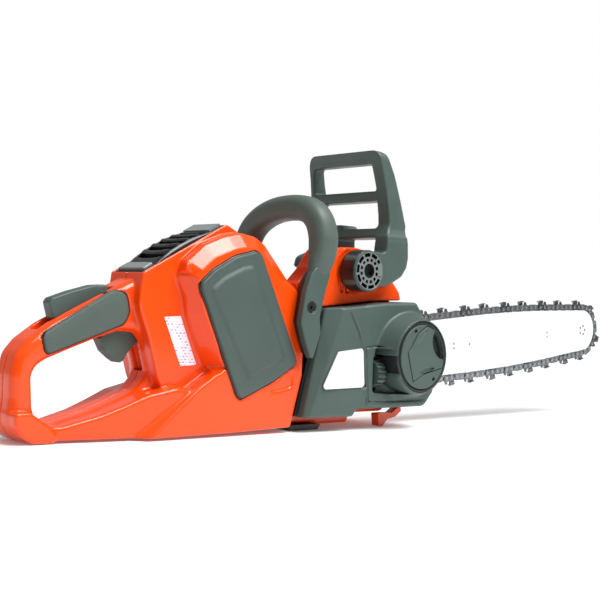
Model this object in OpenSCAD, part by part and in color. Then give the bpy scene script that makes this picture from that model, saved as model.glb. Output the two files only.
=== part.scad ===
// Battery chainsaw: rear-handle saw with a slide-in battery, a hand guard that
// works the chain brake, and a bar clamped by a tool-free knob.
// x runs forward along the saw, y to its left, z up. The saw stands on its
// rear flange and its front foot at z = 0.

/* [Bar and chain] */
// Angle at which the guide bar rises above the ground at rest
bar_rise = 4.87; // [4:0.1:5.5]
// Thickness of the guide bar
bar_t = 3.2; // [3:0.1:3.6]
// Width of the groove that guides the drive links
groove_t = 1.3; // [1.3:0.1:1.5]
// Thickness of one drive link
drive_t = 1.1; // [1.0:0.05:1.1]
// Thickness of one tie strap
strap_t = 1.1; // [0.9:0.05:1.2]
// Distance from the drive sprocket centre to the nose sprocket centre
nose_x = 407.65; // [406:0.05:409]
// Number of drive links in the chain loop
drive_links_n = 52; // [52]
/* [Body] */
// Half width of the rear handle
handle_hw = 17.5; // [16:0.5:19]
// Half width of the body where the side pads sit
body_hw = 46; // [45:0.5:47]
// Wall thickness of the moulded shells
wall = 2.8; // [2.4:0.1:3]
/* [Front handle and guard] */
// Size of the front handle tube, front to back
tube_x = 28; // [26:1:30]
// Size of the front handle tube across
tube_y = 26; // [24:1:28]
// Width of the guard's side arms
guard_arm = 17; // [15:1:18]
/* [Battery] */
// Depth that the battery goes into the body
battery_depth = 86; // [80:1:88]
// Half width of the battery
battery_hw = 23.5; // [22.5:0.5:24]
/* [Clamp knob] */
// Radius of the clamp knob
knob_r = 36.4; // [35:0.2:37]
// Radius of the chain tension wheel
wheel_r = 14; // [13:0.5:14]
/* [Hidden] */
$fn = 48;
// shift that puts the middle of the whole saw's base at the origin
ox = 427.76; oy = -3.53;
// bar geometry
kx = 440; kz = 76.2;               // clamp knob axis
sx = kx - 40*cos(bar_rise);        // drive sprocket axis
sz = kz - 40*sin(bar_rise);
by = -35;                          // middle plane of the bar
hx = 374; hz = 162;                // guard pivot axis
pitch_r1 = 18.0;                   // rivet circle on the drive sprocket
pitch_r4 = 29.77;                  // rivet circle on the nose sprocket
rail = 4.2;                        // rivet line above the bar's rail
n_riv = 2*drive_links_n;
// battery slot frame
bs = 28.5;                         // slope of the battery's top face
bx0 = 131.5; bz0 = 149;              // rear top corner of the battery
bl = 102;                          // battery length along the slope

module P() { translate([-ox, -oy, 0]) children(); }
// a flat outline in x, z carried from y0 to y1
module xz(y0, y1) { translate([0, y1, 0]) rotate([90, 0, 0]) linear_extrude(height = y1 - y0) children(); }
// a cylinder along y
module cy(x, z, r, y0, y1, fn = 48) { translate([x, y1, z]) rotate([90, 0, 0]) cylinder(r = r, h = y1 - y0, $fn = fn); }
module mir() { mirror([0, 1, 0]) children(); }
// bar frame: origin at the drive sprocket, x along the bar
module bar() { translate([sx, by, sz]) rotate([0, -bar_rise, 0]) children(); }
// battery frame: x along the slope, z out of the slot
module bat() { translate([bx0, 0, bz0]) rotate([0, -bs, 0]) children(); }
module square_at(x, z, w, h) translate([x, z]) square([w, h]);
module rnd(r) { offset(r = r, $fn = 20) offset(delta = -r) children(); }

// ---------- path of the chain's rivets ----------
c2 = [95, -114.8]; q2 = 150;
q3 = 2400; c3 = [212, 36.7 - q3];
c4 = [nose_x, 0];
function tang(ca, ra, cb, rb, s) = let(d = cb - ca, L = norm(d)) atan2(d[1], d[0]) + s*acos((ra - rb)/L);
a1 = tang([0, 0], pitch_r1, c2, q2, 1);
a2 = tang(c2, q2, c3, q3, 1);
a3 = tang(c3, q3, c4, pitch_r4, 1);
function on(c, r, a) = [c[0] + r*cos(a), c[1] + r*sin(a)];
function dr(a) = a*PI/180;
l1 = pitch_r1*dr(180 - a1);
l2 = norm(on(c2, q2, a1) - on([0, 0], pitch_r1, a1));
l3 = q2*dr(a1 - a2);
l4 = norm(on(c3, q3, a2) - on(c2, q2, a2));
l5 = q3*dr(a2 - a3);
l6 = norm(on(c4, pitch_r4, a3) - on(c3, q3, a3));
l7 = pitch_r4*dr(a3);
half = l1 + l2 + l3 + l4 + l5 + l6 + l7;
function lerp(a, b, t) = a + (b - a)*t;
// point of the upper run at distance s from the rear of the sprocket, with its normal's angle
function up_run(s) =
  s < l1 ? let(a = 180 - s/pitch_r1*180/PI) [on([0, 0], pitch_r1, a), a] :
  s < l1+l2 ? [lerp(on([0, 0], pitch_r1, a1), on(c2, q2, a1), (s-l1)/l2), a1] :
  s < l1+l2+l3 ? let(a = a1 - (s-l1-l2)/q2*180/PI) [on(c2, q2, a), a] :
  s < l1+l2+l3+l4 ? [lerp(on(c2, q2, a2), on(c3, q3, a2), (s-l1-l2-l3)/l4), a2] :
  s < l1+l2+l3+l4+l5 ? let(a = a2 - (s-l1-l2-l3-l4)/q3*180/PI) [on(c3, q3, a), a] :
  s < half-l7 ? [lerp(on(c3, q3, a3), on(c4, pitch_r4, a3), (s-half+l7+l6)/l6), a3] :
  let(a = (half - s)/pitch_r4*180/PI) [on(c4, pitch_r4, a), a];
function run(s) = let(t = s - floor(s/(2*half))*2*half)
  t <= half ? up_run(t) : let(u = up_run(2*half - t)) [[u[0][0], -u[0][1]], -u[1]];
function riv(i) = run(i*2*half/n_riv + 2.1)[0];
module at_link(i) { a = riv(i); b = riv(i + 1);
  translate([(a[0]+b[0])/2, 0, (a[1]+b[1])/2]) rotate([0, -atan2(b[1]-a[1], b[0]-a[0]), 0]) children(); }
pp = 2*half/n_riv/2;
// points of the bar's edge, from its tail over the top to the nose
s0 = l1 + 31; ns = 60;
function edge(k) = let(u = up_run(s0 + (half - s0)*pow(k/ns, 0.62))) u[0] - (rail)*[cos(u[1]), sin(u[1])];
bar_top = [for (k = [0:ns]) edge(k)];
bar_pts = concat([[22.8, 13]], bar_top, [for (k = [ns-1:-1:0]) [edge(k)[0], -edge(k)[1]]], [[22.8, -13]]);

// ---------- outlines ----------
handle_out = [[150,147],[127,142],[104,130.5],[74,115.5],[45,100.5],[26,87],[16,75],[12.5,58],[13,38],[12,26],[13,16],[20,6],[30,0],[50,0],
  [80,1.2],[120,1.5],[155,2],[200,3],[200,60],[170,90]];
loop_in = [[34,30],[32,57],[36,64.5],[45,70],[71,80],[93,88],[116,95],[133,94],[139,86],[148,56],[134,42],[112,33],[90,25],[54,16],[38,18]];
core = [[127.5,130],[130,148.4],[131.5,149.2],[222,198.4],[234,193],[262,178],[285,120],[130,120]];
core_lo = [[127.5,130],[285,130],[285,120],[260,30],[160,34],[150,54],[139,90],[129.5,112]];
bulge = [[173,128],[165,146],[169,160],[189,177],[214,187],[232,190.5],[250,188],[262,181],[300,141],[299,114],[313,72],[296,5],[221,3],[150,2],
  [120,2],[133,17],[160,30],[183,46],[205,60],[199,67],[188.5,84],[176.5,111]];
base = [[34,2],[36,16],[54,14],[90,23],[112,31],[134,40],[162,46],[210,40],[230,3],[120,2]];
pad = [[177,140],[193,154],[218,168],[243,174.5],[250,171],[300,71],[298,65],[271,50],[232,34],[226,37]];
gpad = [[37,92],[42,73],[119,101],[124,112],[120,130],[105,132]];
motor_lo = [[299,6.2],[315,72],[301,114],[302,134],[450,134],[453,126],[455,30],[446,14],[396,14],[392,4],[345.5,4],[345.5,6.2]];
motor_hi = [[302,134],[302,146],[318,162],[331,181],[337,184],[379,186],[392,184],[434,155],[446,143],[449,134]];

hi_in = [[302,128],[302,146],[318,162],[331,181],[337,184],[379,186],[392,184],[434,155],[446,143],[449,128]];
module shell(y0, y1, t) { difference() { xz(y0, y1) children(0); xz(y0 + t, y1 + 1) offset(delta = -t) children(0); } }

// housing screws: x, z and half width of the body there
scr = [[22.5,60,17.5],[72,9.5,33],[120,16,33],[172,30,42],[283,24,46],[287,128,46]];
module half_housing(s) {
  difference() {
    union() {
      half_shell();
      for (q = scr) cy(q[0], q[1], 5, -q[2] + 1.6, 0);
    }
    for (q = scr) { cy(q[0], q[1], 1.85, -q[2] + 3, 1); if (s < 0) { cy(q[0], q[1], 1.85, -60, 1); cy(q[0], q[1], 3.6, -60, -q[2] + 3.8); } }
  }
}
module half_shell() {
  difference() {
    union() {
      difference() { xz(-handle_hw, 0) polygon(handle_out); xz(-30, 1) polygon(loop_in); }
      xz(-26.5, 0) polygon(core);
      xz(-26.5, 0) polygon(core_lo);
      xz(-27, 0) polygon([[13,16],[12,26],[26,26],[44,15],[51,6],[50,0],[30,0],[20,6]]);
      xz(-33, 0) polygon(base);
      xz(-42, 0) polygon(bulge);
      xz(-body_hw, -41) offset(delta = -5) polygon(bulge);
    }
    // hollow handle
    xz(-handle_hw + wall, 1) offset(delta = -3.2) difference() { polygon(handle_out); polygon(loop_in); }
    // hollow foot and body
    xz(-30, 1) offset(delta = -wall) polygon(base);
    xz(-42 + wall, 1) offset(delta = -wall) polygon(bulge);
    // battery slot
    bat() translate([-0.6, -battery_hw - 0.6, -battery_depth - 2]) cube([bl + 1.2, battery_hw + 2, battery_depth + 30]);
    xz(-26.5 + 2.2, 1) offset(delta = -wall) polygon([[130,129],[131,112],[139,90],[150,54],[160,34],[260,30],[285,120],[285,129]]);
    // opening for the trigger and the lockout
    xz(-7.6, 1) polygon([[95,80],[95,110],[146,116],[150,100],[146,82],[137,60],[110,60]]);
    xz(-7.6, 1) polygon([[36,92],[36,130],[112,145],[116,118],[60,92]]);
    // seat of the side pad and grip pad
    xz(-body_hw - 1, -body_hw + 2.4) offset(delta = 0.3) polygon(pad);
    xz(-handle_hw - 1, -handle_hw + 1.6) offset(delta = 0.3) polygon(gpad);
    // cut back from the motor housing
    xz(-60, 1) polygon([[301.5,146],[300.5,114],[314.5,72],[297,4],[400,4],[400,200],[301.5,200]]);
  }
}
module right_housing() color("orangered") P() half_housing(1);
module left_housing() color("orangered") P() mir() half_housing(-1);

module motor_housing() color("orangered") P() difference() {
  union() {
    xz(-27, 44) polygon(motor_lo);
    xz(-45, -18) polygon(motor_hi);
    xz(-45, 10) intersection() { polygon(motor_hi); square_at(360, 120, 100, 80); }
    xz(-45, 31) intersection() { polygon(motor_hi); square_at(296, 120, 52, 26); }
    // pad that the bar bears on
    cy(kx, kz, 8.8, -33.3, -26);
  }
  xz(-24, 41.2) difference() { offset(delta = -wall) polygon(motor_lo); translate([0, -20]) square([1, 1]); }
  xz(-42, -20.8) offset(delta = -wall) polygon(hi_in);
  xz(-42, 7.2) intersection() { offset(delta = -wall) polygon(hi_in); square_at(362.8, 100, 100, 100); }
  xz(-42, 28.2) intersection() { offset(delta = -wall) polygon(hi_in); square_at(290, 100, 55.2, 43.2); }
  // opening for the shaft and brake drum
  cy(sx, sz, 34.5, -30, -20);
  // stud and chain oil
  cy(kx, kz, 4, -40, -20);
  bar() translate([28, 10, 16]) rotate([90, 0, 0]) cylinder(r = 1.2, h = 24);
  // oil filler
  cy(344, 46, 11.2, 38, 50);
  // room for the front handle
  xz(-60, -40.4) square_at(300, 130, 34.5, 60);
  // guard pivots
  cy(hx, hz, 4, -50, -40); cy(hx, hz, 4, 5, 14);
  // cooling slots
  for (i = [0:6]) translate([312 + i*8, 38, 96]) cube([4, 10, 26]);
  for (i = [0:1]) translate([360 + i*6, -46, 139]) rotate([0, 20, 0]) cube([4, 6, 8]);
}
mf = [[301.7,128.6],[332.5,128.6],[331.3,122.5],[318.4,72],[304,16],[300.6,16],[315,72],[301.1,114]];
module mid_frame() color([0.09, 0.09, 0.1]) P() difference() {
  xz(-45.8, -27.3) polygon(mf);
  xz(-43, -25) offset(delta = -1.4) polygon(mf);
}
module front_foot() color([0.1, 0.1, 0.11]) P() xz(-36, 36) polygon([[303,5.6],[305,0],[342,0],[344.6,3.6],[344.6,5.6]]);
module chain_catcher() color("orangered") P() {
  xz(-40, -30) rnd(1) polygon([[425,13.6],[427,0],[433,0],[440,7],[452,9],[461,15],[460,21],[447,13.6]]);
}
module grip_pad(s) xz(-19.6, -16) rnd(4) polygon(gpad);
module grip_pad_right() color([0.37, 0.43, 0.42]) P() grip_pad(1);
module grip_pad_left() color([0.37, 0.43, 0.42]) P() mir() grip_pad(1);
module side_pad(s) difference() {
  union() { xz(-49, -43.8) rnd(5) polygon(pad); xz(-50.5, -48.9) offset(delta = -7) polygon(pad); }
}
module side_pad_right() color([0.37, 0.43, 0.42]) P() side_pad(1);
module side_pad_left() color([0.37, 0.43, 0.42]) P() mir() side_pad(1);
module rating_label() color([0.93, 0.9, 0.94]) P() xz(-26.9, -26.5) polygon([[154.5,109],[172.5,110.3],[192.5,65.5],[174.5,64.5]]);

module throttle_trigger() color([0.35, 0.4, 0.4]) P() difference() {
  union() {
    xz(-6.4, 6.4) rnd(1.2) polygon([[101,88],[107,77],[116,70],[122,66.5],[125.5,68],[129,74],[135,81],[146,90],[147,104],[136,108],[118,105]]);
    cy(141, 101, 7, -6.4, 6.4);
  }
  cy(141, 101, 2.05, -8, 8);
}
module throttle_lockout() color([0.35, 0.4, 0.4]) P() difference() {
  union() {
    xz(-6.6, 6.6) rnd(1.5) polygon([[54,103.5],[49.5,118.5],[52,121.8],[92,134.5],[106,135.5],[108,125],[84,116]]);
    cy(101, 128, 6, -6.6, 6.6);
  }
  cy(101, 128, 2.05, -8, 8);
}
module lever_pins() color("silver") P() { cy(141, 101, 2, -13, 13); cy(101, 128, 2, -13, 13); }
module trigger_switch() color([0.12, 0.12, 0.12]) P() { translate([109, -9, 111]) cube([21, 18, 12]); }
module control_board() color([0.1, 0.3, 0.15]) P() union() {
  translate([203, -30, 22]) cube([72, 60, 2]);
  for (i = [0:3]) translate([207 + i*13, -20, 23.5]) cube([9, 40, 12]);
  for (j = [-1, 1]) translate([266, 14*j, 23.5]) cylinder(r = 6, h = 18);
}
// battery
module battery_pack() color([0.07, 0.07, 0.08]) P() bat() difference() {
  union() {
    translate([0, -battery_hw, -battery_depth]) cube([bl, 2*battery_hw, battery_depth]);
    for (i = [0:4]) translate([21 + i*13, -battery_hw + 1.5, -1]) cube([6, 2*battery_hw - 3, 3.2]);
  }
  translate([2, -battery_hw + 2, -battery_depth + 2]) cube([bl - 4, 2*battery_hw - 4, battery_depth - 6]);
  // seat of the latch button
  translate([3, -20.2, -6]) cube([12.4, 40.4, 8]);
  for (i = [0:3]) translate([28 + i*13, -battery_hw + 4, -3]) cube([5, 2*battery_hw - 8, 8]);
}
module battery_cells() color([0.2, 0.45, 0.55]) P() bat() {
  for (i = [0:4], j = [0:1]) translate([12 + i*19, -9.6 + j*19.2, 5 - battery_depth]) cylinder(r = 9.2, h = 65.2);
}
module battery_end_cap() color([0.3, 0.34, 0.33]) P() bat() translate([bl - 17, -battery_hw + 3, 0]) cube([15, 2*battery_hw - 6, 2.4]);
module battery_latch() color([0.3, 0.34, 0.33]) P() bat() translate([3.3, -20, -4.4]) cube([11.8, 40, 6.6]);

// front handle: an oval tube along a chain of points
hp = [[304,57,40],[306,60,60],[310,62.5,95],[314,63.5,130],[317,63.5,160],[319,61,183],[319.5,54,199],[319.5,43,209.5],[319.5,28,217],
  [319,10,221.5],[319,-10,223],[319.5,-28,221.5],[320,-41,216.5],[321,-49.5,207],[322,-53.5,194],[321.8,-54.5,184],[321,-54.6,175],[320,-54.7,167]];
function vn(v) = v/norm(v);
function tanv(i) = vn(hp[min(i+1, len(hp)-1)] - hp[max(i-1, 0)]);
ns_t = 16;
function ring(i, kx_, ky_) = let(t = tanv(i), nn = vn(cross(t, [1, 0, 0])), xx = cross(nn, t))
  [for (j = [0:ns_t-1]) let(a = j*360/ns_t) hp[i] + kx_*cos(a)*xx + ky_*sin(a)*nn];
function tap(i, m) = i > m-4 ? 1 - 0.17*(i - m + 4) : (i == 0 ? 0.8 : 1);
module front_handle() color([0.36, 0.42, 0.4]) P() {
  m = len(hp);

  pts = [for (i = [0:m-1]) each ring(i, tube_x/2*(i > m-4 ? 1 - 0.03*(i-m+4) : 1), tube_y/2*tap(i, m))];
  polyhedron(points = pts, faces = concat(
    [[for (j = [0:ns_t-1]) j]],
    [[for (j = [ns_t-1:-1:0]) (m-1)*ns_t + j]],
    [for (i = [0:m-2], j = [0:ns_t-1]) let(k = (j+1)%ns_t) [i*ns_t+j, (i+1)*ns_t+j, (i+1)*ns_t+k]],
    [for (i = [0:m-2], j = [0:ns_t-1]) let(k = (j+1)%ns_t) [i*ns_t+j, (i+1)*ns_t+k, i*ns_t+k]]));
}
module handle_bracket() color([0.36, 0.42, 0.4]) P() difference() {
  union() {
    xz(-61, -46.2) rnd(3) polygon([[301,154],[306,161],[314.5,164],[323,161.5],[327.5,156],[320.6,135.6],[315.1,113],[317.2,98.3],[308.5,74],[304.5,74],[296,92],[290.2,108.5],[295,137.6]]);
    xz(-58, -50.5) rnd(2) polygon([[306,152],[323,152],[326,177],[315,177]]);
    xz(46.2, 56) rnd(3) polygon([[290,38.5],[318,38.5],[317,24],[311,16],[297,16],[291,24]]);
  }
  cy(303.5, 123, 6, -63, -57); cy(303.5, 123, 2.6, -63, -40);
  cy(304, 27, 6, 52, 60); cy(304, 27, 2.6, 40, 60);
}
module screw(x, z, y0, y1) { cy(x, z, 4.6, y0, y0 + 3); difference() { cy(x, z, 2.5, y0, y1); } }
module handle_screws() color([0.6, 0.6, 0.62]) P() {
  difference() { screw(303.5, 123, -60.4, -46.1); cy(303.5, 123, 2, -62, -58.6, 6); }
  mir() difference() { screw(304, 27, -55.4, -46.1); cy(304, 27, 2, -58, -53.6, 6); }
}
// guard: side profile crossed with a front frame
g_side = [[386,289],[402,289],[409,286],[419.5,264],[427.5,238],[434.5,212],[432,197],[433,178],[431,168],[424,159],[406,150],[400,150],[401,188],[403,201],[409,212],[408.7,222],[405.5,247],[401.7,264],[396.4,281],[391,285]];
module hand_guard() color([0.36, 0.42, 0.42]) P() difference() {
  union() {
    intersection() {
      xz(-70, 90) polygon(g_side);
      translate([360, 0, 0]) rotate([90, 0, 90]) linear_extrude(height = 100) difference() {
        rnd(9) polygon([[-66,184],[-66,193],[-61.5,207],[-58.2,247],[-55,281],[-55,289],[53.5,289],[53.5,281],[58.3,247],[61,222],[61,211],[54,198],[24.5,198],[24.5,186.5],[12,186.5],[12,198],[-48,198],[-48,184]]);
        rnd(4) polygon([[-42.5,247.5],[-40,275],[46,275],[50,262],[51,247.5]]);
        rnd(4) polygon([[-43.5,208.5],[-42.5,237],[51.5,237],[52.5,222],[49,210],[28,209],[25,213.5],[12,213.5],[8,208.5]]);
      }
    }
    xz(-66, -49) polygon([[370,150],[394,148],[400,146],[407,148],[424,158],[431,168],[433,178],[431,190],[401,190],[401,184],[397,181],[374,183]]);
    xz(12, 24.5) polygon([[370,156],[394,148],[400,146],[407,148],[424,158],[431,168],[433,178],[431,190],[401,190],[401,184],[397,181],[374,183]]);
    cy(hx, hz, 21, -69, -48);
    cy(hx, hz, 10.5, 11, 27);
  }
  cy(hx, hz, 5.05, -60, -40); cy(hx, hz, 5.05, 9, 22);
  cy(hx, hz, 6.6, -71, -62);
  for (a = [0:30:330]) translate([hx, -66, hz]) rotate([0, a, 0]) translate([9.6, -5, -1.1]) cube([2.4, 7, 2.2]);
  for (a = [80:36:300]) translate([hx, -66, hz]) rotate([0, a + 180, 0]) difference() {
    rotate([90, 0, 0]) rotate_extrude(angle = 28) translate([15.2, -1]) square([3, 6]);
  }
}
module guard_pivots() color("silver") P() { cy(hx, hz, 5, -59.5, -45.1); cy(hx, hz, 5, 10.1, 21.5); cy(hx, hz, 4, -46, -40); cy(hx, hz, 4, 5, 11); }
module housing_screws() color([0.55, 0.55, 0.57]) P() mir() for (q = scr) { cy(q[0], q[1], 3.4, -q[2] + 1.2, -q[2] + 3.8); cy(q[0], q[1], 1.8, -q[2] + 3.7, 9); }

// sprocket cover and clamp
cov = [[304,14.5],[366,14.5],[372,21.5],[466,22.5],[479,37],[481,45],[458.5,121],[449,132.5],[404,130.5],[332,122.5]];
module sprocket_cover() color([0.36, 0.42, 0.4]) P() difference() {
  union() {
    xz(-58, -28) polygon(cov);
    xz(-62.5, -57.9) offset(delta = -4) polygon(cov);
    xz(-69, -57.9) rnd(3) polygon([[380,24],[464,25],[476,38],[477,46],[456,118],[447,128],[400,127],[384,100]]);
    cy(kx, kz, 39.2, -77, -57.9, 72);
  }
  xz(-55, -27) offset(delta = -wall) polygon(cov);
  // front and rear mouth for the chain
  xz(-43, -27) polygon([[440,25.6],[440,129],[500,129],[500,25.6]]);
  // clamp knob well and stud hole
  cy(kx, kz, knob_r + 0.6, -90, -62, 72);
  cy(kx, kz, 13, -70, -50);
  // recess and slot of the tension wheel
  xz(-75, -64.5) rnd(2) polygon([[381,28],[381,84],[406,84],[411,60],[419,44],[430,37],[466,37],[466,28]]);
  translate([389, -80, 38]) cube([18, 30, 39]);
  // seat of the name panel
  xz(-70, -61.7) offset(delta = 0.2) polygon([[322,46],[341,80],[374,83.5],[376,80],[379,47],[376,44],[325,43]]);
}
module cover_panel() color([0.95, 0.95, 0.94]) P() xz(-62.9, -61.7) rnd(2) polygon([[322,46],[341,80],[374,83.5],[376,80],[379,47],[376,44],[325,43]]);
module bar_stud() color("silver") P() { cy(kx, kz, 4, -66, -22); cy(kx, kz, 9, -24, -21, 6); }
module knob_frame() translate([kx, 0, kz]) rotate([0, 18, 0]) children();
module clamp_knob() color([0.35, 0.41, 0.4]) P() difference() {
  union() {
    cy(kx, kz, knob_r - 1.2, -86, -72, 72);
    cy(kx, kz, 12.4, -73, -56.4);
  }
  cy(kx, kz, 9.1, -69, -50);
  cy(kx, kz, 5, -76, -40);
  // well of the flap
  knob_frame() translate([-25.8, -90, -17.2]) cube([62, 11.2, 34.4]);
  // finger recess
  knob_frame() translate([30, -86, 0]) sphere(r = 11);
  for (z = [-24, 24]) knob_frame() translate([0, -81, z]) rotate([90, 0, 0]) cylinder(r = 1.8, h = 10);
  // bore of the flap's hinge pin
  knob_frame() translate([-21, -82, -22]) cylinder(r = 1.5, h = 44);
}
module knob_ring() color([0.08, 0.08, 0.08]) P() difference() { cy(kx, kz, knob_r, -85, -73, 72); cy(kx, kz, knob_r - 1.2, -90, -70, 72); }
module clamp_nut() color("silver") P() difference() { cy(kx, kz, 9.1, -69, -57); cy(kx, kz, 4.06, -80, -50); }
module knob_flap() color([0.4, 0.46, 0.45]) P() difference() {
  intersection() {
    knob_frame() union() {
      translate([-18.2, -86.6, -16.8]) cube([54, 7.3, 33.6]);
      translate([-21, -84.5, -16.8]) cube([4, 5, 33.6]);
      translate([-21, -82, -16.8]) cylinder(r = 2.5, h = 33.6);
    }
    cy(kx, kz, knob_r - 2.2, -90, -60, 72);
  }
  knob_frame() translate([34, -88, 0]) rotate([90, 0, 0]) translate([0, 0, -12]) cylinder(r = 10.5, h = 20);
  knob_frame() translate([-21, -82, -22]) cylinder(r = 1.55, h = 44);
}
module knob_flap_pin() color("silver") P() knob_frame() translate([-21, -82, -21]) cylinder(r = 1.5, h = 42);

wy = -56;
module tension_wheel() color([0.33, 0.38, 0.37]) P() translate([0, 0, 0]) {
  translate([392.6, wy, 57.5]) rotate([0, 90, 0]) difference() {
    union() { cylinder(r = wheel_r - 1, h = 11); for (i = [0:17]) rotate([0, 0, i*20]) translate([wheel_r - 1.6, -1, 0]) cube([1.6, 2, 11]); translate([0, 0, -3]) cylinder(r = 3, h = 17); }
  }
}
module tension_pin() color("silver") P() bar() translate([34, 0, -11]) rotate([90, 0, 0]) translate([0, 0, -3]) cylinder(r = 3.2, h = 6.4);

// ---------- bar ----------
module guide_bar() color([0.93, 0.94, 0.93]) P() bar() difference() {
  xz(-bar_t/2, bar_t/2) polygon(bar_pts);
  // groove
  xz(-groove_t/2, groove_t/2) difference() { offset(delta = 2) polygon(bar_pts); intersection() { offset(delta = -6.2) polygon(bar_pts); translate([0, -50]) square([500, 100]); } }
  // nose sprocket pocket
  xz(-0.75, 0.75) translate([nose_x, 0]) difference() { circle(r = 22.5); circle(r = 9); }
  // stud slot
  xz(-5, 5) translate([28, -4.15]) square([24, 8.3]);
  cy(28, 0, 4.15, -5, 5); cy(52, 0, 4.15, -5, 5);
  cy(34, -11, 3.25, -5, 5); cy(34, 11, 3.25, -5, 5);
  cy(27, 15.5, 1.2, -5, 5); cy(27, -15.5, 1.2, -5, 5);
}
module bar_rivets() color([0.6, 0.6, 0.62]) P() bar() {
  for (a = [0:72:288]) cy(nose_x + 5.4*cos(a), 5.4*sin(a), 1.5, -bar_t/2 - 0.15, bar_t/2 + 0.15, 24);
  for (q = [[150,2.5],[150,-2.5],[178,0],[330,2.5],[330,-2.5]]) cy(q[0], q[1], 1.3, -bar_t/2 - 0.15, bar_t/2 + 0.15, 24);
}
module nose_sprocket() color([0.55, 0.55, 0.57]) P() bar() translate([nose_x, 0, 0]) xz(-0.55, 0.55) difference() {
  polygon([for (i = [0:79]) let(a = i*4.5, r = 17.6 + 2.4*pow(abs(sin(a*5)), 0.7)) [r*cos(a), r*sin(a)]]);
  circle(r = 9.06);
}
dl = [[-8.1,0],[-7.2,2.6],[-4,3.1],[-1.5,2.2],[1.5,2.2],[4,3.1],[7.2,2.6],[8.1,0],[7,-2.6],[4.6,-3.6],[3,-6.4],[1.2,-9],[-1,-9],[-2.6,-6],[-4.6,-3.6],[-7,-2.6]];
module drive_links() color([0.5, 0.5, 0.52]) P() bar() for (i = [0:2:n_riv-2]) at_link(i) xz(-drive_t/2, drive_t/2) polygon(dl);
st = concat([for (a = [90:30:270]) [-pp + 3.8*cos(a), 3.8*sin(a)]], [for (a = [-90:30:90]) [pp + 3.8*cos(a), 3.8*sin(a)]]);
so = drive_t/2 + 0.1;
module strap_r() xz(-so - strap_t, -so) polygon(st);
module strap_l() xz(so, so + strap_t) polygon(st);
module tie_straps() color([0.55, 0.55, 0.58]) P() bar() for (i = [1:2:n_riv-1]) at_link(i) {
  if ((i-1)/2 % 4 != 2) strap_r();
  if ((i-1)/2 % 4 != 0) strap_l();
}
cs = [[-9,-1],[-9,7.4],[-1.6,8.6],[-1,6.6],[-0.6,3.8],[1.2,2.9],[2.6,3.8],[3.4,7.3],[5.6,7],[8.4,2],[8.2,-1.6],[6,-3.6],[4.4,-3.8],[1.6,-2.6],[-1.6,-2.6],[-4.4,-3.8],[-6.4,-3.4]];
module cutter_l() { xz(so, so + 1.3) polygon(cs);
  xz(-1.2, so + 2.4) polygon([[-9,6.4],[-9,7.6],[-1.6,8.8],[-1.4,7.8]]);
  xz(so, so + 2.4) polygon([[-8,4],[-8,7],[-1.4,8],[-1.2,5.4],[-2,4.6]]); }
module cutters_left() color([0.6, 0.6, 0.63]) P() bar() for (i = [1:8:n_riv-1]) at_link(i) cutter_l();
module cutters_right() color([0.6, 0.6, 0.63]) P() bar() for (i = [5:8:n_riv-1]) at_link(i) mir() cutter_l();
module chain_rivets() color([0.5, 0.5, 0.52]) P() bar() for (i = [0:n_riv-1]) translate([riv(i)[0], 0, riv(i)[1]]) {
  xz(-2.3, 2.3) circle(r = 2, $fn = 20); }

// ---------- drive ----------
module drive_sprocket() color([0.5, 0.5, 0.52]) P() bar() difference() {
  union() { cy(0, 0, 13, -4.4, -0.9); cy(0, 0, 13, 0.9, 4.4); cy(0, 0, 8.4, -4.4, 4.4); }
  cy(0, 0, 5, -6, 6);
}
module brake_drum() color([0.5, 0.5, 0.52]) P() difference() { cy(sx, sz, 29, -30.2, -21); cy(sx, sz, 26, -27.7, -20); cy(sx, sz, 5, -40, -10); }
module brake_band() color([0.4, 0.4, 0.42]) P() difference() { cy(sx, sz, 30.8, -28.6, -22.6); cy(sx, sz, 29.6, -40, -10); translate([sx, -32, sz + 20]) cube([40, 20, 20]); }
module motor_shaft() color("silver") P() cy(sx, sz, 5, -39.5, 34);
module motor_rotor() color([0.35, 0.35, 0.37]) P() difference() { cy(sx, sz, 30, -16, 24); cy(sx, sz, 27.4, -12.5, 25); cy(sx, sz, 5, -40, 40); }
module motor_stator() color([0.6, 0.35, 0.15]) P() difference() {
  union() { cy(sx, sz, 13, -10, 27.5); for (a = [0:30:330]) translate([sx, 6, sz]) rotate([0, a, 0]) translate([12, -14, -3]) cube([14.6, 28, 6]); cy(sx, sz, 31, 26, 30); }
  cy(sx, sz, 9.05, -40, 40);
}
module motor_bearings() color("silver") P() { difference() { cy(sx, sz, 9, 18, 25); cy(sx, sz, 5.05, 0, 40); } difference() { cy(sx, sz, 9, -9, -2); cy(sx, sz, 5.05, -20, 40); } }
module oil_tank() color([0.85, 0.82, 0.7]) P() difference() {
  union() { translate([322, -20, 20]) cube([42, 58, 60]); translate([330, -10, 75]) cube([26, 40, 25]); }
  translate([324, -18, 22]) cube([38, 54, 56]); translate([332, -8, 70]) cube([22, 36, 28]);
  cy(344, 46, 11, 35, 50);
}
module oil_pump() color([0.3, 0.3, 0.32]) P() { cy(398, 26, 7, -21, -2); cy(398, 26, 4, -2.1, 6); }
module oil_cap() color([0.1, 0.1, 0.11]) P() difference() {
  union() { cy(344, 46, 16, 44.4, 50); cy(344, 46, 10.6, 38.6, 44.5); translate([330, 49.9, 43.6]) cube([28, 4.6, 4.8]); }
}
module keypad() color([0.1, 0.1, 0.11]) P() translate([281.5, 0, 162.6]) rotate([0, 46.4, 0]) difference() {
  translate([-13, -22, 0]) cube([26, 44, 2.4]);
  translate([0, -10, -1]) cylinder(r = 6.3, h = 5); translate([0, 10, -1]) cylinder(r = 4.8, h = 5);
}
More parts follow.
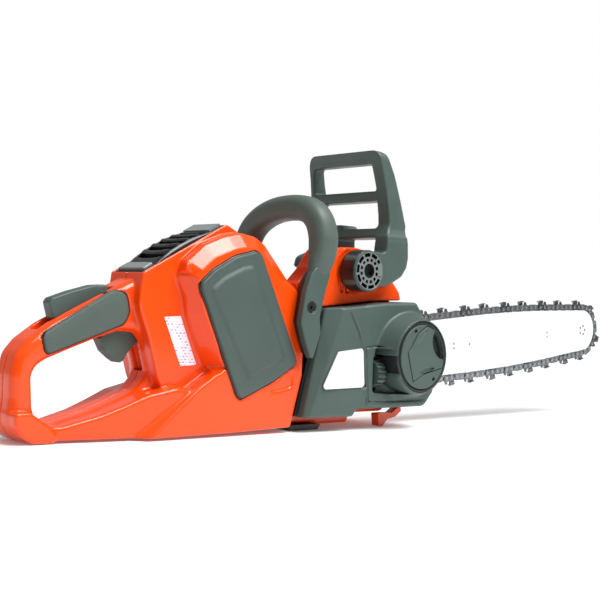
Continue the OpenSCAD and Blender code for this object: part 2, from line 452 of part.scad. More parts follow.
module power_button() color([0.2, 0.5, 0.25]) P() translate([281.5, 0, 162.6]) rotate([0, 46.4, 0]) translate([0, -10, 0.2]) cylinder(r = 6, h = 3.4);
module mode_button() color([0.5, 0.5, 0.5]) P() translate([281.5, 0, 162.6]) rotate([0, 46.4, 0]) translate([0, 10, 0.2]) cylinder(r = 4.5, h = 3.4);

right_housing();
left_housing();
motor_housing();
mid_frame();
front_foot();
chain_catcher();
grip_pad_right();
grip_pad_left();
side_pad_right();
side_pad_left();
rating_label();
throttle_trigger();
throttle_lockout();
lever_pins();
trigger_switch();
control_board();
battery_pack();
battery_cells();
battery_end_cap();
battery_latch();
front_handle();
handle_bracket();
handle_screws();
hand_guard();
guard_pivots();
housing_screws();
sprocket_cover();
cover_panel();
bar_stud();
clamp_knob();
knob_ring();
clamp_nut();
knob_flap();
knob_flap_pin();
tension_wheel();
tension_pin();
guide_bar();
bar_rivets();
nose_sprocket();
drive_links();
tie_straps();
cutters_left();
cutters_right();
chain_rivets();
drive_sprocket();
brake_drum();
brake_band();
motor_shaft();
motor_rotor();
motor_stator();
motor_bearings();
oil_tank();
oil_pump();
oil_cap();
keypad();
power_button();
mode_button();
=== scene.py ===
import bpy, math
import numpy as np
from mathutils import Vector, Matrix


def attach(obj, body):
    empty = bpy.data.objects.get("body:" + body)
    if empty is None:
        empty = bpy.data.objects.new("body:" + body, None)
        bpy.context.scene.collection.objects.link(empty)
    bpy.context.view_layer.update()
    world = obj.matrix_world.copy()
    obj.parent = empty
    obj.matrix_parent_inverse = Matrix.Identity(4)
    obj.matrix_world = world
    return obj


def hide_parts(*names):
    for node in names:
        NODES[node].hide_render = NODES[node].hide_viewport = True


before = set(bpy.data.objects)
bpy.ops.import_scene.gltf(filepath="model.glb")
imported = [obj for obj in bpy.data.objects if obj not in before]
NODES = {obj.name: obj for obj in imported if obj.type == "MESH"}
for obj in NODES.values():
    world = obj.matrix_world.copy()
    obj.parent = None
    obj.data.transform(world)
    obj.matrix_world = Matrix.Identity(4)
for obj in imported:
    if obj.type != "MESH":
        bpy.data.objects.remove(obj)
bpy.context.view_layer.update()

OX, OY = 427.76, -3.53
BETA = math.radians(4.87)
KX, KZ = 440.0, 76.2
SX, SZ = KX - 40*math.cos(BETA), KZ - 40*math.sin(BETA)
HX, HZ = 374.0, 162.0

# ------------------------------------------------------------------ meshes
def to_row(p):
    p = np.asarray(p, float)
    return (p - np.array([OX, OY, 0.0]))*0.001

def obj_from(name, verts, faces, mat, body, smooth=True, replaces=(), angle=None):
    me = bpy.data.meshes.new(name)
    v = to_row(verts)
    f = np.asarray(faces, np.int32)
    me.vertices.add(len(v)); me.vertices.foreach_set("co", v.astype(np.float32).ravel())
    k = f.shape[1]
    me.loops.add(f.size); me.loops.foreach_set("vertex_index", f.ravel())
    me.polygons.add(len(f))
    me.polygons.foreach_set("loop_start", np.arange(0, f.size, k, dtype=np.int32))
    me.polygons.foreach_set("loop_total", np.full(len(f), k, np.int32))
    me.update(calc_edges=True); me.validate()
    me.polygons.foreach_set("use_smooth", np.full(len(me.polygons), smooth))
    if angle is not None:
        me.set_sharp_from_angle(angle=math.radians(angle))
    me.materials.append(mat)
    o = bpy.data.objects.new(name, me)
    bpy.context.scene.collection.objects.link(o)
    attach(o, body)
    if replaces:
        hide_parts(*replaces)
    return o

EDGES = [((0,0,0),(1,0,0)),((0,1,0),(1,1,0)),((0,0,1),(1,0,1)),((0,1,1),(1,1,1)),
         ((0,0,0),(0,1,0)),((1,0,0),(1,1,0)),((0,0,1),(0,1,1)),((1,0,1),(1,1,1)),
         ((0,0,0),(0,0,1)),((1,0,0),(1,0,1)),((0,1,0),(0,1,1)),((1,1,0),(1,1,1))]
def nets(d, org, h, smooth=2):
    """Closed quad mesh of d < 0 on a regular grid."""
    s = d < 0
    c = np.zeros(tuple(n-1 for n in d.shape), np.int8)
    for a in (0, 1):
        for b in (0, 1):
            for e in (0, 1):
                c += s[a:a+c.shape[0], b:b+c.shape[1], e:e+c.shape[2]]
    I, J, K = np.nonzero((c > 0) & (c < 8))
    vid = np.full(c.shape, -1, np.int32); vid[I, J, K] = np.arange(len(I))
    acc = np.zeros((len(I), 3)); cnt = np.zeros(len(I))
    for a, b in EDGES:
        da = d[I+a[0], J+a[1], K+a[2]]; db = d[I+b[0], J+b[1], K+b[2]]
        m = (da < 0) != (db < 0)
        t = da[m]/(da[m]-db[m])
        acc[m] += np.array(a) + t[:, None]*(np.array(b)-np.array(a)); cnt[m] += 1
    v = np.stack([I, J, K], 1) + acc/cnt[:, None]
    F = []
    for ax in range(3):
        sl0 = [slice(1, -1)]*3; sl1 = [slice(1, -1)]*3
        sl0[ax] = slice(0, -1); sl1[ax] = slice(1, None)
        A = s[tuple(sl0)]; B = s[tuple(sl1)]
        i, j, k = np.nonzero(A != B)
        off = [1, 1, 1]; off[ax] = 0
        i, j, k = i+off[0], j+off[1], k+off[2]
        u, w = [(1, 2), (2, 0), (0, 1)][ax]
        def g(du, dw):
            q = [i.copy(), j.copy(), k.copy()]; q[u] = q[u]+du; q[w] = q[w]+dw
            return vid[q[0], q[1], q[2]]
        f = np.stack([g(-1, -1), g(0, -1), g(0, 0), g(-1, 0)], 1)
        flip = ~A[i-off[0], j-off[1], k-off[2]]
        f[flip] = f[flip][:, ::-1]
        F.append(f)
    F = np.concatenate(F)
    if smooth:
        e = np.concatenate([F[:, [0, 1]], F[:, [1, 2]], F[:, [2, 3]], F[:, [3, 0]]])
        deg = np.bincount(e.ravel(), minlength=len(v))[:, None].clip(1)
        for it in range(smooth):
            for lam in (0.55, -0.57):
                a = np.zeros_like(v)
                for q in range(3):
                    a[:, q] = np.bincount(e[:, 0], v[e[:, 1], q], len(v)) + np.bincount(e[:, 1], v[e[:, 0], q], len(v))
                v = v + lam*(a/deg - v)
    return np.array(org) + v*h, F

def rpoly(p, r, n=5):
    """Round a polygon's corners to radius r (a number or one per corner)."""
    p = [np.array(q[:2], float) for q in p]; out = []
    N = len(p)
    for i in range(N):
        a, b, c = p[i-1], p[i], p[(i+1) % N]
        rr = r[i] if hasattr(r, "__len__") else r
        u = a-b; w = c-b; lu, lw = np.linalg.norm(u), np.linalg.norm(w)
        u /= lu; w /= lw
        ang = math.acos(max(-1, min(1, float(u@w))))
        if math.pi-ang < 0.02 or rr <= 0:
            out.append(b); continue
        t = min(rr/math.tan(ang/2), lu*0.48, lw*0.48)
        A, C = b+u*t, b+w*t
        for k in range(n+1):
            s = k/n
            out.append((1-s)**2*A + 2*s*(1-s)*b + s*s*C)
    return np.array(out)

def sd2(poly, X, Z):
    """Signed distance to a polygon, negative inside."""
    p = np.asarray(poly); q = np.roll(p, -1, 0)
    d = np.full(X.shape, 1e9); ins = np.zeros(X.shape, bool)
    for a, b in zip(p, q):
        ex, ez = b-a; L = ex*ex+ez*ez
        if L < 1e-12: continue
        wx, wz = X-a[0], Z-a[1]
        t = np.clip((wx*ex+wz*ez)/L, 0, 1)
        d = np.minimum(d, (wx-t*ex)**2+(wz-t*ez)**2)
        if a[1] != b[1]:
            c = ((a[1] > Z) != (b[1] > Z)) & (X < (b[0]-a[0])*(Z-a[1])/(b[1]-a[1])+a[0])
            ins ^= c
    d = np.sqrt(d)
    return np.where(ins, -d, d)

def ext(d2, dy, r):
    """Prism of outline distance d2 and side distance dy with edges rounded to r."""
    a = d2+r; b = dy+r
    return np.minimum(np.maximum(a, b), 0)+np.sqrt(np.maximum(a, 0)**2+np.maximum(b, 0)**2)-r
def smin(a, b, k):
    h = np.clip(0.5+0.5*(b-a)/k, 0, 1)
    return b*(1-h)+a*h-k*h*(1-h)
def smax(a, b, k): return -smin(-a, -b, k)

class Grid:
    def __init__(s, lo, hi, h):
        s.h = h; s.org = np.array(lo, float)
        n = [int(math.ceil((b-a)/h))+1 for a, b in zip(lo, hi)]
        s.x = lo[0]+h*np.arange(n[0]); s.y = lo[1]+h*np.arange(n[1]); s.z = lo[2]+h*np.arange(n[2])
        s.X2, s.Z2 = np.meshgrid(s.x, s.z, indexing="ij")
        s.X = s.x[:, None, None]; s.Y = s.y[None, :, None]; s.Z = s.z[None, None, :]
    def o(s, poly): return sd2(poly, s.X2, s.Z2)[:, None, :].astype(np.float32)
    def oyz(s, poly):
        Y2, Z2 = np.meshgrid(s.y, s.z, indexing="ij")
        return sd2(poly, Y2, Z2)[None, :, :].astype(np.float32)
    def cyl(s, x, z): return np.sqrt((s.X-x)**2+(s.Z-z)**2)
    def mesh(s, d, smooth=2): return nets(d, s.org, s.h, smooth)

# --------------------------------------------------------------- materials
def mat_new(name):
    m = bpy.data.materials.new(name); m.use_nodes = True
    nt = m.node_tree; b = nt.nodes["Principled BSDF"]
    return m, nt, b
def tex(nt, kind, scale, **kw):
    tc = nt.nodes.get("TC") or nt.nodes.new("ShaderNodeTexCoord"); tc.name = "TC"
    t = nt.nodes.new(kind); t.inputs["Scale"].default_value = scale
    for k, v in kw.items():
        t.inputs[k].default_value = v
    nt.links.new(tc.outputs["Object"], t.inputs["Vector"])
    return t
def ramp(nt, src, a, b, c0, c1):
    r = nt.nodes.new("ShaderNodeValToRGB")
    r.color_ramp.elements[0].position = a; r.color_ramp.elements[1].position = b
    r.color_ramp.elements[0].color = c0; r.color_ramp.elements[1].color = c1
    nt.links.new(src, r.inputs["Fac"]); return r
def bump(nt, b, h, strength, dist, prev=None):
    n = nt.nodes.new("ShaderNodeBump"); n.inputs["Strength"].default_value = strength; n.inputs["Distance"].default_value = dist
    nt.links.new(h, n.inputs["Height"])
    if prev: nt.links.new(prev.outputs["Normal"], n.inputs["Normal"])
    nt.links.new(n.outputs["Normal"], b.inputs["Normal"]); return n
def g3(v): return (v, v, v, 1)

def plastic(name, col, rough, grain, gbump, var=0.06, coat=0.0, rvar=0.06, spec=0.5, sheen=0.0):
    m, nt, b = mat_new(name)
    n = tex(nt, "ShaderNodeTexNoise", 22.0, Detail=3.0)
    c0 = tuple(c*(1-var) for c in col)+(1,); c1 = tuple(min(1, c*(1+var)) for c in col)+(1,)
    r = ramp(nt, n.outputs["Fac"], 0.3, 0.7, c0, c1)
    nt.links.new(r.outputs["Color"], b.inputs["Base Color"])
    n2 = tex(nt, "ShaderNodeTexNoise", 60.0, Detail=4.0)
    r2 = ramp(nt, n2.outputs["Fac"], 0.3, 0.7, g3(max(0.02, rough-rvar)), g3(rough+rvar))
    nt.links.new(r2.outputs["Color"], b.inputs["Roughness"])
    n3 = tex(nt, "ShaderNodeTexNoise", grain, Detail=2.0)
    bump(nt, b, n3.outputs["Fac"], gbump, 0.0002)
    b.inputs["Coat Weight"].default_value = coat
    b.inputs["Coat Roughness"].default_value = 0.06
    b.inputs["Specular IOR Level"].default_value = spec
    b.inputs["Sheen Weight"].default_value = sheen
    return m

def metal(name, col, rough, scale=400.0, grime=0.3, metallic=1.0):
    m, nt, b = mat_new(name)
    n = tex(nt, "ShaderNodeTexNoise", scale, Detail=5.0)
    r = ramp(nt, n.outputs["Fac"], 0.32, 0.68, tuple(c*(1-grime) for c in col)+(1,), tuple(col)+(1,))
    nt.links.new(r.outputs["Color"], b.inputs["Base Color"])
    r2 = ramp(nt, n.outputs["Fac"], 0.3, 0.7, g3(rough+0.12), g3(rough-0.05))
    nt.links.new(r2.outputs["Color"], b.inputs["Roughness"])
    w = tex(nt, "ShaderNodeTexWave", 900.0, Distortion=3.0)
    bump(nt, b, w.outputs["Fac"], 0.08, 0.0001)
    b.inputs["Metallic"].default_value = metallic
    return m

M = {
 "orange": plastic("orange_shell", (0.84, 0.064, 0.002), 0.22, 900.0, 0.03, var=0.03, coat=0.3, rvar=0.03, spec=0.3),
 "grey": plastic("grey_plastic", (0.052, 0.082, 0.071), 0.46, 1800.0, 0.35, var=0.05),
 "rubber": plastic("grey_rubber", (0.060, 0.088, 0.075), 0.55, 2400.0, 0.45, var=0.05, sheen=0.08),
 "pad": plastic("side_pad", (0.050, 0.077, 0.068), 0.5, 2000.0, 0.4, var=0.05),
 "black": plastic("black_plastic", (0.010, 0.011, 0.013), 0.32, 1500.0, 0.25, var=0.1),
 "dark": plastic("dark_plastic", (0.022, 0.026, 0.027), 0.42, 1500.0, 0.3, var=0.1),
 "latch": plastic("latch_grey", (0.16, 0.2, 0.19), 0.16, 900.0, 0.05, coat=0.5),
 "white": plastic("white_film", (0.74, 0.745, 0.745), 0.3, 900.0, 0.04, var=0.015),
 "label": plastic("label_film", (0.83, 0.78, 0.84), 0.35, 900.0, 0.04, var=0.02),
 "bar": plastic("bar_lacquer", (0.70, 0.72, 0.715), 0.28, 500.0, 0.05, var=0.02, coat=0.2),
 "chain": metal("chain_steel", (0.38, 0.40, 0.41), 0.32, 500.0, 0.5),
 "cutter": metal("cutter_steel", (0.30, 0.33, 0.35), 0.26, 500.0, 0.4),
 "steel": metal("bright_steel", (0.55, 0.55, 0.57), 0.3),
 "hub": plastic("hub_plastic", (0.15, 0.175, 0.168), 0.42, 1800.0, 0.3, var=0.05),
 "copper": metal("winding", (0.55, 0.22, 0.06), 0.35),
 "board": plastic("board", (0.02, 0.11, 0.04), 0.35, 1000.0, 0.2),
 "cell": plastic("cell_wrap", (0.05, 0.18, 0.26), 0.3, 900.0, 0.1),
 "tank": plastic("tank", (0.6, 0.55, 0.4), 0.4, 900.0, 0.1),
 "green": plastic("button_green", (0.03, 0.25, 0.07), 0.5, 1500.0, 0.3),
}
ASSIGN = dict(
 motor_housing="orange", chain_catcher="orange", right_housing="orange", left_housing="orange",
 mid_frame="black", front_foot="black", grip_pad_right="rubber", grip_pad_left="rubber", side_pad_right="pad", side_pad_left="pad",
 rating_label="label", throttle_trigger="grey", throttle_lockout="grey", lever_pins="steel", trigger_switch="black", control_board="board",
 battery_pack="black", battery_cells="cell", battery_end_cap="latch", battery_latch="latch", front_handle="rubber", handle_bracket="grey",
 handle_screws="black", hand_guard="grey", guard_pivots="steel", housing_screws="steel", sprocket_cover="grey", cover_panel="white",
 bar_stud="steel", clamp_knob="grey", knob_ring="black", clamp_nut="steel", knob_flap="grey", knob_flap_pin="steel", tension_wheel="grey",
 tension_pin="steel", guide_bar="bar", bar_rivets="steel", nose_sprocket="chain", drive_links="chain", tie_straps="chain", cutters_left="cutter",
 cutters_right="cutter", chain_rivets="steel", drive_sprocket="chain", brake_drum="chain", brake_band="chain", motor_shaft="steel",
 motor_rotor="chain", motor_stator="copper", motor_bearings="steel", oil_tank="tank", oil_pump="black", oil_cap="dark", keypad="black",
 power_button="green", mode_button="latch")
BEV = dict(throttle_trigger=1.3, throttle_lockout=1.6, clamp_knob=0.8, knob_flap=0.9, handle_bracket=1.4, mid_frame=0.8, front_foot=1.2,
 chain_catcher=1.0, tension_wheel=0.5, battery_latch=1.2, battery_end_cap=0.8, drive_links=0.15, tie_straps=0.2, cutters_left=0.2,
 cutters_right=0.2, guide_bar=0.25, oil_cap=0.8, keypad=0.5, power_button=0.6, mode_button=0.6, knob_ring=0.3, chain_rivets=0.2, cover_panel=0.2)
def rows(m_):
    nt = m_.node_tree; b = nt.nodes["Principled BSDF"]
    t = tex(nt, "ShaderNodeTexBrick", 1.0)
    t.inputs["Scale"].default_value = 60.0
    t.inputs["Color1"].default_value = (0.30, 0.22, 0.32, 1); t.inputs["Color2"].default_value = (0.80, 0.74, 0.82, 1); t.inputs["Mortar"].default_value = (0.84, 0.79, 0.86, 1)
    t.inputs["Mortar Size"].default_value = 0.045; t.inputs["Brick Width"].default_value = 0.22; t.inputs["Row Height"].default_value = 0.16
    mp = nt.nodes.new("ShaderNodeMapping"); mp.inputs["Rotation"].default_value = (math.radians(90), math.radians(24), 0)
    nt.links.new(nt.nodes["TC"].outputs["Object"], mp.inputs["Vector"]); nt.links.new(mp.outputs["Vector"], t.inputs["Vector"])
    nt.links.new(t.outputs["Color"], b.inputs["Base Color"])
rows(M["label"])
def node_obj(n):
    o = NODES[n]
    return o if hasattr(o, "data") else bpy.data.objects[o]
for n, k in ASSIGN.items():
    o = node_obj(n)
    for s in range(max(1, len(o.material_slots))):
        if not o.material_slots: o.data.materials.append(M[k])
        else: o.material_slots[s].material = M[k]
    if n in BEV:
        w = o.modifiers.new("weld", "WELD"); w.merge_threshold = 1e-6
        b = o.modifiers.new("bevel", "BEVEL"); b.width = BEV[n]*0.001; b.segments = 3 if BEV[n] > 0.4 else 1
        b.limit_method = "ANGLE"; b.angle_limit = math.radians(32); b.harden_normals = False
        b.use_clamp_overlap = True

# ---------------------------------------------------------------- outlines
handle_out = [[170,140],[127,142],[104,130.5],[74,115.5],[45,100.5],[26,87],[16,75],[12.5,58],[13,38],[12,26],[12.5,17],[19,7],[29,0.6],[50,0.3],
  [80,1.2],[120,1.5],[155,2],[200,3],[200,60],[178,100]]
handle_r = [0,8,20,60,40,26,22,30,20,6,6,8,5,5,5,5,5,0,0,0]
loop_in = [[34,30],[32,57],[36,64.5],[45,70],[71,80],[93,88],[116,95],[133,94],[139,86],[148,56],[134,42],[112,33],[90,25],[54,16],[38,18]]
core = [[127.5,120],[127.8,131],[130,148.4],[131.5,149.2],[222,198.4],[234,193],[262,178],[285,120],[260,30],[160,34],[150,54],[139,90],[129.5,112]]
bulge = [[173,128],[165,146],[169,160],[189,177],[214,187],[232,190.5],[250,188],[262,181],[300,141],[299,114],[313.5,72],[296,5],[221,3],[150,2],
  [120,2],[133,17],[160,30],[183,46],[205,60],[199,67],[188.5,84],[176.5,111]]
bulge_r = [10,12,10,25,30,20,12,10,6,10,10,3,2,2,2,30,30,20,6,5,8,10]
base = [[34,2],[36,16],[54,14],[90,23],[112,31],[134,40],[162,46],[210,40],[230,3],[120,2]]
pad = [[177,140],[193,154],[218,168],[243,174.5],[250,171],[300,71],[298,65],[271,50],[232,34],[226,37]]
pad_r = [7,14,30,8,7,7,5,20,6,6]
gpad = [[37,92],[42,73],[119,101],[124,112],[120,130],[105,132]]
gpad_r = [7,6,14,12,10,12]
bs = math.radians(28.5)

# ---------------------------------------------------------- orange housing
def housing():
    g = Grid((8, -49, -4), (308, 2, 203), 1.1)
    ay = -g.Y
    d_out = g.o(rpoly(handle_out, handle_r)); d_in = g.o(rpoly(loop_in, 14))
    ring = smax(d_out, -d_in, 1.0)
    # the grip's section: a constant half width with edges rounded to 8.5
    d = ext(ring, ay-17.5+0*g.X, 8.5)
    # core that holds the battery
    t = (g.X-131.5)*math.cos(bs)+(g.Z-149)*math.sin(bs)
    cd = g.o(rpoly(core, [2,6,2,2,6,8,12,20,10,20,14,14,8]))
    d = smin(d, ext(cd, ay-26.5+0*g.X, 1.6), 2.0)
    # rear foot flange
    fl = g.o(rpoly([[12.5,16],[11.5,27],[26,27],[44,15.5],[51,7],[50,0.3],[29,0.6],[19,7]], [5,4,5,8,5,3,5,7]))
    d = smin(d, ext(fl, ay-26+0*g.X, 2.5), 2.0)
    # base arm: widens towards the front
    wb = np.interp(g.x, [30, 60, 110, 160, 230], [22, 27, 34, 41, 44])[:, None, None]
    bd = g.o(rpoly(base, [2,6,20,20,20,20,20,10,3,2]))
    d = smin(d, ext(bd, ay-wb, 3.0), 2.5)
    # bulge with a broad shoulder facet along its top
    bu = g.o(rpoly(bulge, bulge_r))
    side = ay-46.0
    b1 = ext(bu, side, 2.2)
    sh = (bu*10+(ay-36.0)*14)/17.2             # broad chamfer between the top face and the side
    low = np.clip((g.Z-128)/20, 0, 1)*np.clip((g.X-158)/14, 0.15, 1)
    b1 = smax(b1, sh-12*(1-low), 1.4)
    # slanted rear wall of the bulge
    rl = g.o([[176,200],[164,147],[174,110],[189,80],[203,60],[183,40],[100,-30],[400,-30],[400,200]])
    rw = (rl*19.5+(ay-26.5)*12.5)/23.2
    b1 = smax(b1, rw-14*np.clip((64-g.Z)/10, 0, 1)-14*np.clip((g.Z-150)/8, 0, 1), 1.2)
    d = smin(d, b1, 1.8)
    # wedge hollow below the pad
    wd = g.o(rpoly([[262,38],[292,62],[297,56],[296,44]], 4))
    d = smax(d, -ext(wd, -(ay-44.6)+0*g.X, 0.8), 1.0)
    # seats of the pads
    d = np.maximum(d, -np.maximum(g.o(rpoly(pad, pad_r))-0.5, -(ay-43.5)))
    d = np.maximum(d, -np.maximum(g.o(rpoly(gpad, gpad_r))-0.5, -(ay-15.7)))
    # openings
    tr = g.o([[96,86],[100,80],[112,98],[120,108],[146,108],[150,86],[155,52],[148,50],[141,84],[132,92],[116,93]])
    d = smax(d, -np.maximum(g.o(rpoly([[97,80],[97,112],[146,116],[147,88],[142,80],[130,60],[108,60]], 2)), ay-7.4), 0.6)
    d = smax(d, -np.maximum(g.o(rpoly([[38,92],[38,136],[111,146],[112,128],[80,108],[60,94]], 2)), ay-7.4), 0.6)
    # slot behind the trigger
    d = smax(d, -np.maximum(g.o(rpoly([[137,86],[148,56],[153,58],[143,90]], 1)), ay-6.5), 0.5)
    # battery bay
    n_ = -(g.X-131.5)*math.sin(bs)+(g.Z-149)*math.cos(bs)
    bay = np.maximum(np.maximum(-t-0.6, t-102.6), np.maximum(ay-24.1, -n_-88))
    d = np.maximum(d, -bay)
    # hollow shell
    inner = d+3.0
    shell = np.maximum(d, -inner)
    d = np.maximum(shell, g.Y+0.12)
    # cut back from the motor housing
    cut = g.o([[301.5,146],[300.5,114],[314.5,72],[297,4],[297,-20],[400,-20],[400,220],[301.5,220]])
    d = np.maximum(d, -cut)
    return g.mesh(d.astype(np.float32), 3)
v, f = housing()
obj_from("shell_right", v, f, M["orange"], "saw_body", replaces=("right_housing",))
v2 = v.copy(); v2[:, 1] *= -1
obj_from("shell_left", v2, f[:, ::-1], M["orange"], "saw_body", replaces=("left_housing",))

# -------------------------------------------------------------------- pads
def pads():
    g = Grid((172, -53, 30), (304, -42, 179), 0.9)
    p = g.o(rpoly(pad, pad_r))
    inner = [[187,136],[204,149],[226,159],[240,162],[285,72],[268,62],[238,50]]
    pi = g.o(rpoly(inner, [8,10,12,8,8,10,8]))
    top = 48.6 + 0.5*np.clip(-p/14, 0, 1) - 1.1*np.exp(-((pi)/3.2)**2) + 0.9*np.clip(-pi/5, 0, 1)
    d = ext(p+0.9, -g.Y-top, 1.6)
    d = smax(d, g.Y+43.8, 0.5)
    return g.mesh(d.astype(np.float32), 2)
v, f = pads()
obj_from("pad_right", v, f, M["pad"], "saw_body", replaces=("side_pad_right",))
v2 = v.copy(); v2[:, 1] *= -1
obj_from("pad_left", v2, f[:, ::-1], M["pad"], "saw_body", replaces=("side_pad_left",))
def gpads():
    g = Grid((33, -22, 69), (128, -14, 136), 0.8)
    p = g.o(rpoly(gpad, gpad_r))
    top = 17.9 + 1.5*np.clip(-p/9, 0, 1)**0.7
    d = ext(p+0.8, -g.Y-top, 1.2)
    d = smax(d, g.Y+15.9, 0.4)
    return g.mesh(d.astype(np.float32), 2)
v, f = gpads()
obj_from("grip_right", v, f, M["rubber"], "saw_body", replaces=("grip_pad_right",))
v2 = v.copy(); v2[:, 1] *= -1
obj_from("grip_left", v2, f[:, ::-1], M["rubber"], "saw_body", replaces=("grip_pad_left",))

# black strips set into the seams round the pads: painted shade in the gaps
def gap_shade_strip(name, poly, rr_, y0, y1, x0, x1, z0, z1):
    g = Grid((x0, y0-2, z0), (x1, y1+2, z1), 0.9)
    v, f = g.mesh(np.maximum(g.o(rpoly(poly, rr_))-0.2, np.maximum(y0-g.Y, g.Y-y1)+0*g.X).astype(np.float32), 1)
    obj_from(name+"_right", v, f, M["black"], "saw_body")
    v2 = v.copy(); v2[:, 1] *= -1
    obj_from(name+"_left", v2, f[:, ::-1], M["black"], "saw_body")
# painted shade in the seams round the side pads and the grip pads
gap_shade_strip("pad_gasket", pad, pad_r, -46.2, -43.7, 172, 304, 30, 179)
gap_shade_strip("grip_gasket", gpad, gpad_r, -17.9, -15.9, 33, 128, 69, 136)

# the throttle lockout: a rounded lever
def lever():
    g = Grid((46, -9, 98), (112, 9, 139), 0.7)
    p = g.o(rpoly([[54,103.5],[49.5,118.5],[52,122.2],[70,128.6],[92,134.8],[106,136],[109,125],[84,116]], [2,2,3,30,12,4,4,20]))
    d = ext(p, np.abs(g.Y)-6.6+0*g.X, 1.6)
    d = smin(d, ext(g.cyl(101, 128)-6, np.abs(g.Y)-6.6, 1.0), 1.0)
    return g.mesh(d.astype(np.float32), 2)
v, f = lever()
obj_from("lockout_lever", v, f, M["grey"], "lockout", replaces=("throttle_lockout",))

# ------------------------------------------------------------ front handle
HP = np.array([[303.5,56.5,38],[306,60,60],[310,62.5,95],[314,63.5,130],[317,63.5,160],[319,61,183],[319.5,54,199],[319.5,43,209.5],[319.5,28,217],
  [319,10,221.5],[319,-10,223],[319.5,-28,221.5],[320,-41,216.5],[321,-49.5,207],[322,-53.5,194],[321.8,-54.2,184],[320.5,-54.4,174],[317.5,-54.4,163],[314,-54.3,152]])
def catmull(P, n):
    P = np.vstack([2*P[0]-P[1], P, 2*P[-1]-P[-2]]); out = []
    for i in range(1, len(P)-2):
        for k in range(n):
            t = k/n; a, b, c, e = P[i-1], P[i], P[i+1], P[i+2]
            out.append(0.5*((2*b)+(-a+c)*t+(2*a-5*b+4*c-e)*t*t+(-a+3*b-3*c+e)*t**3))
    out.append(P[-2]); return np.array(out)
def tube(P, rx, ry, pw, ns=48, groove=0.0):
    m = len(P); T = np.gradient(P, axis=0); T /= np.linalg.norm(T, axis=1)[:, None]
    V = []
    a = np.arange(ns)*2*np.pi/ns
    ca, sa = np.cos(a), np.sin(a)
    for i in range(m):
        n = np.cross(T[i], [1, 0, 0]); n /= np.linalg.norm(n); x = np.cross(n, T[i])
        k = (np.abs(ca)**pw+np.abs(sa)**pw)**(-1/pw)
        gr = 1-groove*(np.exp(-((np.mod(a-np.radians(38)+np.pi, 2*np.pi)-np.pi)/0.07)**2)+np.exp(-((np.mod(a-np.radians(142)+np.pi, 2*np.pi)-np.pi)/0.07)**2))
        V.append(P[i]+(rx[i]*ca*k*gr)[:, None]*x+(ry[i]*sa*k*gr)[:, None]*n)
    V = np.concatenate(V)
    F = []
    for i in range(m-1):
        j = np.arange(ns); k = (j+1) % ns
        F.append(np.stack([i*ns+j, i*ns+k, (i+1)*ns+k, (i+1)*ns+j], 1))
    V = np.vstack([V, P[0], P[-1]]); c0 = len(V)-2; c1 = len(V)-1
    j = np.arange(ns); k = (j+1) % ns
    F.append(np.stack([j, np.full(ns, c0), np.full(ns, c0), k], 1)[:, [0, 1, 3, 3]])
    F = np.concatenate(F[:-1])
    caps = [(c0, int(k[q]), int(j[q])) for q in range(ns)]+[(c1, (m-1)*ns+int(j[q]), (m-1)*ns+int(k[q])) for q in range(ns)]
    return V, F, caps
def obj_mixed(name, V, quads, tris, mat, body, replaces=(), angle=None):
    me = bpy.data.meshes.new(name)
    me.from_pydata([tuple(p) for p in to_row(V)], [], [tuple(int(i) for i in q) for q in quads]+[tuple(int(i) for i in t) for t in tris])
    me.validate(); me.update()
    me.polygons.foreach_set("use_smooth", np.full(len(me.polygons), True))
    if angle is not None: me.set_sharp_from_angle(angle=math.radians(angle))
    me.materials.append(mat)
    o = bpy.data.objects.new(name, me); bpy.context.scene.collection.objects.link(o)
    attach(o, body)
    if replaces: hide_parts(*replaces)
    return o
P = catmull(HP, 8); m = len(P)
s = np.arange(m)/(m-1)
ry = np.interp(s, [0, 0.04, 0.80, 0.90, 0.96, 1], [10.5, 12.6, 13.2, 11.5, 8.2, 5.8])
rx = np.interp(s, [0, 0.04, 0.84, 0.93, 1], [12.5, 14, 14.2, 13.4, 10.5])
V, Q, caps = tube(P, rx, ry, 2.5, groove=0.012)
obj_mixed("handle_loop", V, Q, caps, M["rubber"], "saw_body", replaces=("front_handle",), angle=60)

bpl = [[301,154],[306,161],[314.5,165],[323,162.5],[327.5,157],[320.6,135.6],[315.1,113],[317.2,98.3],[308.5,73.5],[304.5,73.5],[296,92],[290.2,108.5],[295,137.6]]
def bracket():
    g = Grid((286, -64, 69), (332, -43, 182), 0.8)
    p = g.o(rpoly(bpl, [4,6,8,6,4,20,8,6,3,3,10,12,30]))
    d = ext(p, np.maximum(-61.4-g.Y, g.Y+53.5), 1.4)
    tang = ext(g.o(rpoly([[306,140],[323,140],[326,177],[315,177]], 4)), np.maximum(-58.4-g.Y, g.Y+50), 1.0)
    d = smin(d, tang, 2.0)
    rr = g.cyl(303.5, 123)
    d = np.maximum(d, -np.maximum(rr-5.8, g.Y+57.2))
    d = np.maximum(d, -(rr-2.7-0*g.Y))
    sp = np.maximum(np.maximum(p+3.0, np.maximum(-54.4-g.Y, g.Y+46.3)), -(rr-2.7))
    ring = np.maximum(np.maximum(rr-5.75, 4.55-rr), np.maximum(-60.9-g.Y, g.Y+57.3))
    return g.mesh(d.astype(np.float32), 2), g.mesh(np.minimum(sp, ring).astype(np.float32), 1)
(v, f), (v2, f2) = bracket()
obj_from("bracket_plate", v, f, M["grey"], "saw_body", replaces=("handle_bracket",))
obj_from("bracket_spacer", v2, f2, M["black"], "saw_body", replaces=("handle_bracket",))
def bracket_l():
    g = Grid((286, 44, 12), (322, 58, 42), 0.8)
    p = g.o(rpoly([[290,38.5],[318,38.5],[317,24],[311,16],[297,16],[291,24]], 3))
    d = ext(p, np.maximum(46.2-g.Y, g.Y-56), 1.2)
    rr = g.cyl(304, 27)
    d = np.maximum(d, -np.maximum(rr-6, 52-g.Y)); d = np.maximum(d, -(rr-2.7-0*g.Y))
    return g.mesh(d.astype(np.float32), 2)
